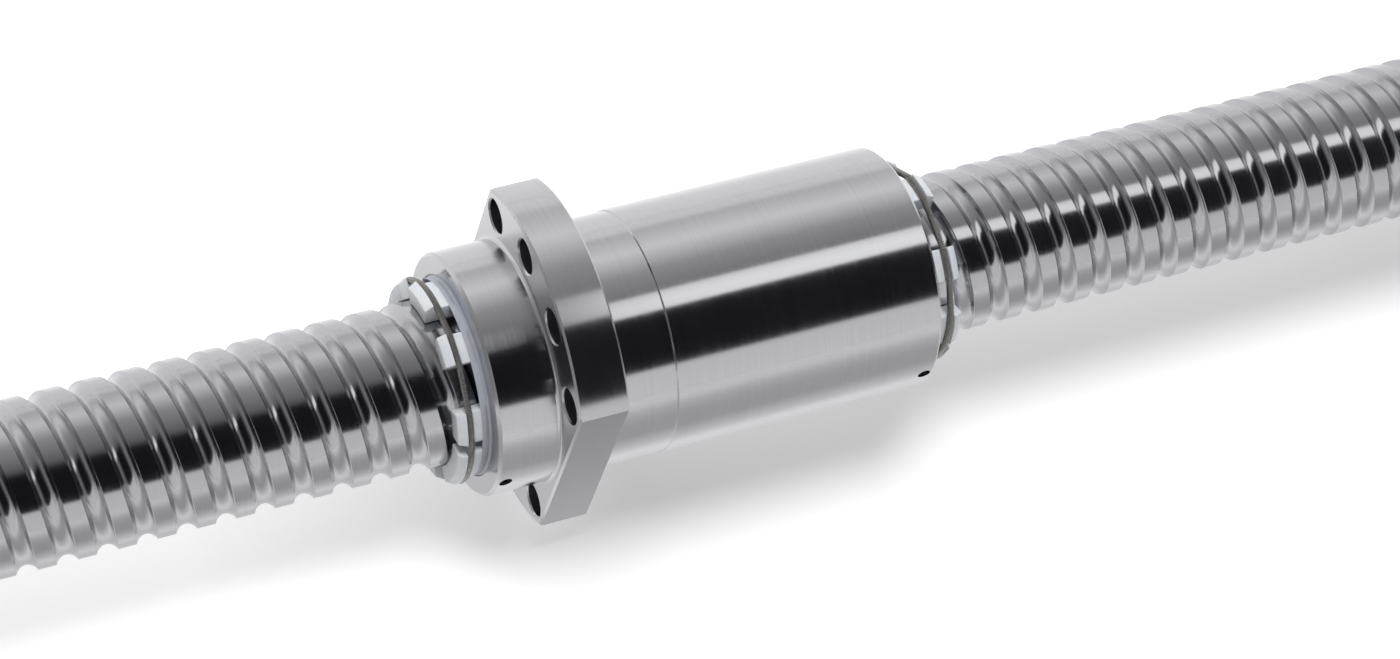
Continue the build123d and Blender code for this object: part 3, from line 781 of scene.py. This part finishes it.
def springGroup():
    group, given, output = newGroup("garterSpring", {
        "Float": ("Coil radius", "Wire radius"), "Int": ("Turns", "Points in a turn"),
        "Material": ("Material",)})
    known = {"number": addNode(group, "GeometryNodeInputIndex")}
    known.update((socket.name, socket) for socket in given.outputs)
    steps = (
        ("points", "MULTIPLY", "Turns", "Points in a turn"),
        ("turns so far", "DIVIDE", "number", "Points in a turn"),
        ("angle", "MULTIPLY", "turns so far", 2 * math.pi),
        ("cosine", "COSINE", "angle"),
        ("sine", "SINE", "angle"),
        ("out", "MULTIPLY", "cosine", "Coil radius"),
        ("along", "MULTIPLY", "sine", "Coil radius"),
        ("out in metres", "MULTIPLY", "out", mm),
        ("along in metres", "MULTIPLY", "along", mm),
        ("wire in metres", "MULTIPLY", "Wire radius", mm),
    )
    for name, operation, *values in steps:
        links = {number: known.get(value, value) for number, value in enumerate(values)}
        known[name] = addNode(group, "ShaderNodeMath", {"operation": operation, "label": name}, links)
    path = addNode(group, "GeometryNodeMeshToCurve", links={"Mesh": given})
    stepped = addNode(group, "GeometryNodeResampleCurve", {"mode": "COUNT"},
                      {"Curve": path, "Count": known["points"]})
    # each point is moved round the line: away from the screw's axis by the cosine, along it by the sine
    place = addNode(group, "GeometryNodeInputPosition")
    flat = addNode(group, "ShaderNodeVectorMath", {"operation": "MULTIPLY"}, {0: place, 1: (0, 1, 1)})
    out = addNode(group, "ShaderNodeVectorMath", {"operation": "NORMALIZE"}, {0: flat})
    outward = addNode(group, "ShaderNodeVectorMath", {"operation": "SCALE"},
                      {0: out, "Scale": known["out in metres"]})
    along = addNode(group, "ShaderNodeCombineXYZ", links={0: known["along in metres"]})
    shift = addNode(group, "ShaderNodeVectorMath", {"operation": "ADD"}, {0: outward, 1: along})
    bent = addNode(group, "GeometryNodeSetPosition", links={"Geometry": stepped, "Offset": shift})
    section = addNode(group, "GeometryNodeCurvePrimitiveCircle",
                      links={"Resolution": 6, "Radius": known["wire in metres"]})
    wire = addNode(group, "GeometryNodeCurveToMesh", links={"Curve": bent, "Profile Curve": section})
    finishGroup(group, wire, known["Material"], output)
    return group


def springLine(x, fingers):
    # the coil's middle line: arcs on the fingers, chords across the gaps
    angles = []
    for start in (0.0, 180.0):
        for middle, width in fingers:
            steps = max(2, round(width / 4))
            angles += [start + middle - width / 2 + width * i / steps for i in range(steps + 1)]
    return [polar(x, springRadius, angle) for angle in angles]


garterSpring = springGroup()
for name, face, outward in (("front", nut["front"], -1), ("rear", nut["rear"], 1)):
    line = springLine(face + outward * wiper["springHeight"], wiper[name])
    coil = grownPiece("wiper_spring_" + name, garterSpring, {**spring, "Material": drawnSpringWire}, line)
    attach(coil, "nut")
    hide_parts(name + "_wiper_spring")
    print("spring made:", name, len(coil.data.polygons), "faces")


# balls of the two circuits, in the raceways and in the return bores

balls = {"Ball radius": 3.969, "Ball circle radius": 33.0, "Lead": 30.0, "First": -14.05, "Phase": 6.1,
         "Loaded length": 120.0, "Gap": 0.02, "Return radius": 42.2}


def ballGroup():
    group, given, output = newGroup("ballTrain", {
        "Float": ("Ball radius", "Path radius", "Lead", "First", "Length", "First angle", "Twist"),
        "Int": ("Count",), "Material": ("Material",)})
    known = {"number": addNode(group, "GeometryNodeInputIndex")}
    known.update((socket.name, socket) for socket in given.outputs)
    steps = (
        ("ball middle", "ADD", "number", 0.5),
        ("share", "DIVIDE", "ball middle", "Count"),
        ("travelled", "MULTIPLY", "share", "Length"),
        ("x", "ADD", "travelled", "First"),
        ("turns", "DIVIDE", "travelled", "Lead"),
        ("full twist", "MULTIPLY", "Twist", 2 * math.pi),
        ("turned", "MULTIPLY", "turns", "full twist"),
        ("first turn", "RADIANS", "First angle"),
        ("angle", "ADD", "turned", "first turn"),
        ("cosine", "COSINE", "angle"),
        ("sine", "SINE", "angle"),
        ("y", "MULTIPLY", "Path radius", "cosine"),
        ("z", "MULTIPLY", "Path radius", "sine"),
        ("x in metres", "MULTIPLY", "x", mm),
        ("y in metres", "MULTIPLY", "y", mm),
        ("z in metres", "MULTIPLY", "z", mm),
        ("radius in metres", "MULTIPLY", "Ball radius", mm),
    )
    for name, operation, *values in steps:
        links = {number: known.get(value, value) for number, value in enumerate(values)}
        known[name] = addNode(group, "ShaderNodeMath", {"operation": operation, "label": name}, links)
    line = addNode(group, "GeometryNodeMeshLine", {"mode": "OFFSET"},
                   {"Offset": (mm, 0, 0), "Count": known["Count"]})
    point = addNode(group, "ShaderNodeCombineXYZ", links={
        0: known["x in metres"], 1: known["y in metres"], 2: known["z in metres"]})
    placed = addNode(group, "GeometryNodeSetPosition", links={"Geometry": line, "Position": point})
    ball = addNode(group, "GeometryNodeMeshIcoSphere",
                   links={"Subdivisions": 2, "Radius": known["radius in metres"]})
    many = addNode(group, "GeometryNodeInstanceOnPoints", links={"Points": placed, "Instance": ball})
    finishGroup(group, many, known["Material"], output)
    return group


ballTrain = ballGroup()
turnLength = math.hypot(2 * math.pi * balls["Ball circle radius"], balls["Lead"])
pathLength = turnLength * balls["Loaded length"] / balls["Lead"]
spacing = 2 * balls["Ball radius"] + balls["Gap"]
for circuit in range(2):
    angle = 360 * (balls["First"] - balls["Phase"]) / balls["Lead"] + 180 * circuit
    shared = {"Ball radius": balls["Ball radius"], "Lead": balls["Lead"], "First": balls["First"],
              "Length": balls["Loaded length"], "First angle": angle % 360, "Material": lappedBallSteel}
    loaded = grownPiece(f"balls_{circuit + 1}", ballTrain, {
        **shared, "Path radius": balls["Ball circle radius"], "Twist": 1.0,
        "Count": int(pathLength / spacing)})
    returning = grownPiece("return", ballTrain, {
        **shared, "Path radius": balls["Return radius"], "Twist": 0.0,
        "Count": int(balls["Loaded length"] / spacing)})
    joinPieces(loaded, [returning], lappedBallSteel)
    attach(loaded, "nut")
    print("balls made:", circuit + 1)


# support bearings, lock nut and their small pieces

bearing = {
    "seat": 25.0, "inner": 30.5, "outerBore": 40.0, "outer": 45.0, "innerEdge": 0.5, "outerEdge": 1.0,
    "boreEdge": 0.3, "sealThickness": 1.6, "sealInset": 0.4, "lipGap": 0.3,
    "fixedStart": 406.0, "fixedRing": 17.0, "floatStart": -274.0, "floatRing": 20.0,
}


def ringPiece(name, node, body, material, outline, steps=192):
    piece = meshObject(name, *latheData(outline, steps), material)
    tidyMesh(piece)
    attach(piece, body)
    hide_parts(node)
    return piece


def innerRing(name, node, start, width):
    seat, inner, e = bearing["seat"], bearing["inner"], bearing["innerEdge"]
    end = start + width
    outline = [(start + e, seat), (start, seat + e), (start, inner - e), (start + e, inner),
               (end - e, inner), (end, inner - e), (end, seat + e), (end - e, seat)]
    return ringPiece(name, node, "screw", honedRingSteel, outline)


def outerRing(name, node, start, width):
    b = bearing
    e, rim, bore, small = b["outerEdge"], b["outer"] - b["outerEdge"], b["outerBore"], b["boreEdge"]
    end = start + width
    outline = [(start + small, bore), (start, bore + small), (start, rim)]
    outline += [(start + e - e * math.cos(math.radians(a)), rim + e * math.sin(math.radians(a)))
                for a in (30, 60, 90)]
    outline += [(end - e + e * math.sin(math.radians(a)), rim + e * math.cos(math.radians(a)))
                for a in (0, 30, 60)]
    outline += [(end, rim), (end, bore + small), (end - small, bore)]
    return ringPiece(name, node, "supports", honedRingSteel, outline)


def sealPiece(name, node, start, outward):
    # moulded: a stiff flange, a shallow groove, then the thinner lip at the inner ring
    inner, outer, t = bearing["inner"] + bearing["lipGap"], bearing["outerBore"], bearing["sealThickness"]
    near = start if outward < 0 else start + t

    def at(depth, radius):
        return (near - outward * depth, radius)

    outline = [at(0.5, inner), at(0.25, inner + 0.5), at(0.25, inner + 1.4), at(0.0, inner + 1.8),
               at(0.0, inner + 4.6), at(0.35, inner + 5.0), at(0.35, inner + 6.6), at(0.0, inner + 7.0),
               at(0.0, outer - 0.3), at(0.3, outer), at(t, outer), at(t, inner + 1.2), at(1.1, inner)]
    return ringPiece(name, node, "supports", nitrileRubber, outline)


fixedStart, fixedRing = bearing["fixedStart"], bearing["fixedRing"]
floatStart, floatRing = bearing["floatStart"], bearing["floatRing"]
inset, sealBack = bearing["sealInset"], bearing["sealInset"] + bearing["sealThickness"]
innerRing("inner_ring_inboard", "fixed_bearing_inner_ring_inboard", fixedStart, fixedRing)
innerRing("inner_ring_outboard", "fixed_bearing_inner_ring_outboard", fixedStart + fixedRing, fixedRing)
innerRing("inner_ring_float", "float_bearing_inner_ring", floatStart, floatRing)
outerRing("outer_ring_fixed", "fixed_bearing_outer_ring", fixedStart, 2 * fixedRing)
outerRing("outer_ring_float", "float_bearing_outer_ring", floatStart, floatRing)
sealPiece("seal_fixed_inboard", "fixed_bearing_seal_inboard", fixedStart + inset, -1)
sealPiece("seal_fixed_outboard", "fixed_bearing_seal_outboard", fixedStart + 2 * fixedRing - sealBack, 1)
sealPiece("seal_float_outboard", "float_bearing_seal_outboard", floatStart + inset, -1)
sealPiece("seal_float_inboard", "float_bearing_seal_inboard", floatStart + floatRing - sealBack, 1)

lockNut = {"start": 441.5, "width": 11.0, "radius": 35.0, "bore": 25.0, "edge": 1.5, "boreEdge": 1.0,
           "slots": 4, "slotWidth": 6.0, "slotDepth": 2.5}


def buildLockNut():
    k = lockNut
    start, radius, bore, edge, small = [k[key] for key in ("start", "radius", "bore", "edge", "boreEdge")]
    end = start + k["width"]
    outline = [(start, bore), (start, radius - edge), (start + edge, radius), (end - edge, radius),
               (end, radius - edge), (end, bore + small), (end - small, bore)]
    piece = tidyMesh(meshObject("lock_nut_ring", *latheData(outline, 160), blackOxideSteel))
    slots = ([], [])
    low, high, half = radius - k["slotDepth"], radius + 2, k["slotWidth"] / 2
    corners = ((low, -half), (high, -half), (high, half), (low, half))
    for number in range(k["slots"]):
        turn = Matrix.Rotation(math.radians(360 / k["slots"] * number), 3, "X")
        loops = [[tuple(turn @ Vector((x, y, z)) * mm) for y, z in corners] for x in (start - 1, end + 1)]
        addData(slots, loopData(loops))
    cutWith(piece, tidyMesh(meshObject("slot_cutter", *slots, blackOxideSteel)))
    tidyMesh(piece)
    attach(piece, "screw")
    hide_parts("lock_nut")
    return piece


buildLockNut()

cadFinishes = {
    "lock_washer": plainPressedSteel, "float_circlip": blackOxideSteel,
    "front_wiper_set_screws": blackOxideSteel, "rear_wiper_set_screws": blackOxideSteel,
    "front_deflector_1": filledNylon, "front_deflector_2": filledNylon,
    "rear_deflector_1": filledNylon, "rear_deflector_2": filledNylon,
}
for node, material in cadFinishes.items():
    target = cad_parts[node].data.materials
    if len(target):
        target[0] = material
    else:
        target.append(material)
print("ends and small pieces made")


# studio: pale floor, soft lamp for what is matt, and a sky of strips along the screw for what is bright

studio = {
    "floorHeight": -67.5, "floorColour": "f2f2f3", "floorReach": 60.0,
    # painted light on the floor, seen only by the camera: how much the floor is lifted along the screw, in
    # millimetres from the flange; more at the left and less by the nut, which shapes the shadow there
    "floorPaintedLight": ((-500, 0.44), (-300, 0.64), (-150, 0.62), (-40, 0.44), (30, 0.31), (160, 0.35),
                  (330, 0.36), (520, 0.34)),
    "lampDirection": (-0.05, 0.16, 1.0), "lampPower": 2.2, "lampSpread": 27.0,
    # degrees round the screw's axis from the +Y horizon over the top to the -Y horizon, and the light there
    "strips": ((0, 0.95), (9, 0.94), (14, 0.68), (24, 0.80), (38, 0.98), (50, 0.72), (62, 0.44), (81, 0.30),
               (94, 0.19), (103, 0.012), (152, 0.01), (154, 0.84), (180, 0.88)),
    "darkBlue": 1.25,  # the darkest strips are a little blue
    # the light that comes along the screw, and how far towards its axis that begins and is whole
    "endsLight": 0.30, "endsFrom": 0.50, "endsTo": 0.95,
}


def fillRamp(ramp, stops, blueInDark=1.0):
    # greys at positions from 0 to 1
    elements = ramp.color_ramp.elements
    while len(elements) > 1:
        elements.remove(elements[-1])
    for number, (position, level) in enumerate(stops):
        element = elements[0] if number == 0 else elements.new(position)
        element.position = position
        element.color = (level, level, level * (blueInDark if level < 0.1 else 1.0), 1)


def rampAlong(tree, axis, levels):
    # greys that change along one axis of the object, with their places in millimetres
    first, last = levels[0][0], levels[-1][0]
    place = addNode(tree, "ShaderNodeTexCoord")
    parts = addNode(tree, "ShaderNodeSeparateXYZ", links={0: place.outputs["Object"]})
    share = addNode(tree, "ShaderNodeMapRange", links={0: parts.outputs[axis], 1: first * mm, 2: last * mm})
    ramp = addNode(tree, "ShaderNodeValToRGB", links={0: share.outputs[0]})
    fillRamp(ramp, [((value - first) / (last - first), level) for value, level in levels])
    return ramp.outputs[0]


def buildStudio():
    s = studio
    reach = s["floorReach"]
    floorMaterial, tree = newMaterial("pale_floor", empty=True)
    rays = addNode(tree, "ShaderNodeLightPath")
    matt = addNode(tree, "ShaderNodeBsdfDiffuse", links={"Color": hexColour(s["floorColour"])})
    # painted light: the floor's lift for the camera changes along the screw
    lift = rampAlong(tree, 0, s["floorPaintedLight"])
    glow = addNode(tree, "ShaderNodeEmission",
                   links={"Color": lift, "Strength": rays.outputs["Is Camera Ray"]})
    both = addNode(tree, "ShaderNodeAddShader", links={0: matt, 1: glow})
    addNode(tree, "ShaderNodeOutputMaterial", links={"Surface": both})
    z = s["floorHeight"] * mm
    corners = [(-reach, -reach, z), (reach, -reach, z), (reach, reach, z), (-reach, reach, z)]
    floor = meshObject("floor", corners, [(0, 1, 2, 3)], floorMaterial)

    lamp = bpy.data.lights.new("overhead_softbox", "SUN")
    lamp.energy = s["lampPower"]
    lamp.angle = math.radians(s["lampSpread"])
    holder = newObject("overhead_softbox", lamp)
    holder.rotation_mode = "QUATERNION"
    holder.rotation_quaternion = Vector(s["lampDirection"]).to_track_quat("Z", "Y")
    holder.visible_glossy = False

    world = bpy.data.worlds.new("studio_sky")
    bpy.context.scene.world = world
    world.use_nodes = True
    tree = world.node_tree
    tree.nodes.clear()
    place = addNode(tree, "ShaderNodeTexCoord").outputs["Generated"]
    x, y, z = addNode(tree, "ShaderNodeSeparateXYZ", links={0: place}).outputs
    turn = addNode(tree, "ShaderNodeMath", {"operation": "ARCTAN2"}, {0: z, 1: y})
    share = addNode(tree, "ShaderNodeMath", {"operation": "DIVIDE"}, {0: turn, 1: math.pi})
    ramp = addNode(tree, "ShaderNodeValToRGB", links={0: share})
    fillRamp(ramp, [(degrees / 180, level) for degrees, level in s["strips"]], s["darkBlue"])
    endness = addNode(tree, "ShaderNodeMath", {"operation": "ABSOLUTE"}, {0: x})
    blend = addNode(tree, "ShaderNodeMapRange", {"interpolation_type": "SMOOTHSTEP"},
                    {0: endness, 1: s["endsFrom"], 2: s["endsTo"], 3: 0.0, 4: 1.0})
    level = s["endsLight"]
    sky = addNode(tree, "ShaderNodeMix", {"data_type": "RGBA"},
                  {0: blend, 6: ramp, 7: (level, level, level, 1)})
    rays = addNode(tree, "ShaderNodeLightPath")
    shown = addNode(tree, "ShaderNodeMix", {"data_type": "RGBA"},
                    {0: rays.outputs["Is Camera Ray"], 6: sky.outputs[2], 7: (1, 1, 1, 1)})
    back = addNode(tree, "ShaderNodeBackground", links={"Color": shown.outputs[2], "Strength": 1.0})
    addNode(tree, "ShaderNodeOutputWorld", links={"Surface": back})


# two cards that only bright metal sees, with their light set along Y: one lies under the screw,
# the other hangs over it from the flange on and gives the bright line above the black band
cards = {
    "under_card": {"height": -66.9, "fromX": -900.0, "toX": 1150.0, "levels": (
        (-1600, 0.95), (-620, 0.90), (-330, 0.66), (-200, 0.54), (-125, 0.52), (-90, 0.74), (-62, 1.05),
        (-48, 0.90), (-36, 0.72), (40, 0.72), (110, 1.12), (200, 1.0), (1600, 1.0))},
    "over_card": {"height": 347.0, "fromX": 78.0, "toX": 1500.0,
                  "levels": ((-72, 1.3), (-20, 1.3), (25, 1.1))},
}


def buildCard(name):
    c = cards[name]
    material, tree = newMaterial(name + "_light", empty=True)
    light = rampAlong(tree, 1, c["levels"])
    glow = addNode(tree, "ShaderNodeEmission", links={"Color": light, "Strength": 1.0})
    addNode(tree, "ShaderNodeOutputMaterial", links={"Surface": glow})
    x0, x1, z = [c[key] * mm for key in ("fromX", "toX", "height")]
    y0, y1 = c["levels"][0][0] * mm, c["levels"][-1][0] * mm
    card = meshObject(name, [(x0, y0, z), (x1, y0, z), (x1, y1, z), (x0, y1, z)], [(0, 1, 2, 3)], material)
    card.visible_camera = False
    card.visible_diffuse = False
    card.visible_transmission = False
    card.visible_shadow = False


# the place in metres, the turns in degrees
camera = {"place": (-0.445649, -0.568909, 1.315848), "turn": (27.6768, -11.3833, -20.98477),
          "lens": 101.946, "sensor": 36.0, "farthest": 200.0}


def buildCamera():
    data = bpy.data.cameras.new("camera")
    data.lens = camera["lens"]
    data.sensor_width = camera["sensor"]
    data.clip_end = camera["farthest"]
    holder = newObject("camera", data)
    holder.location = camera["place"]
    holder.rotation_euler = [math.radians(a) for a in camera["turn"]]
    bpy.context.scene.camera = holder


buildStudio()
for name in cards:
    buildCard(name)
buildCamera()
bpy.context.scene.view_settings.view_transform = "Standard"
print("studio and camera ready")

bpy.context.view_layer.update()
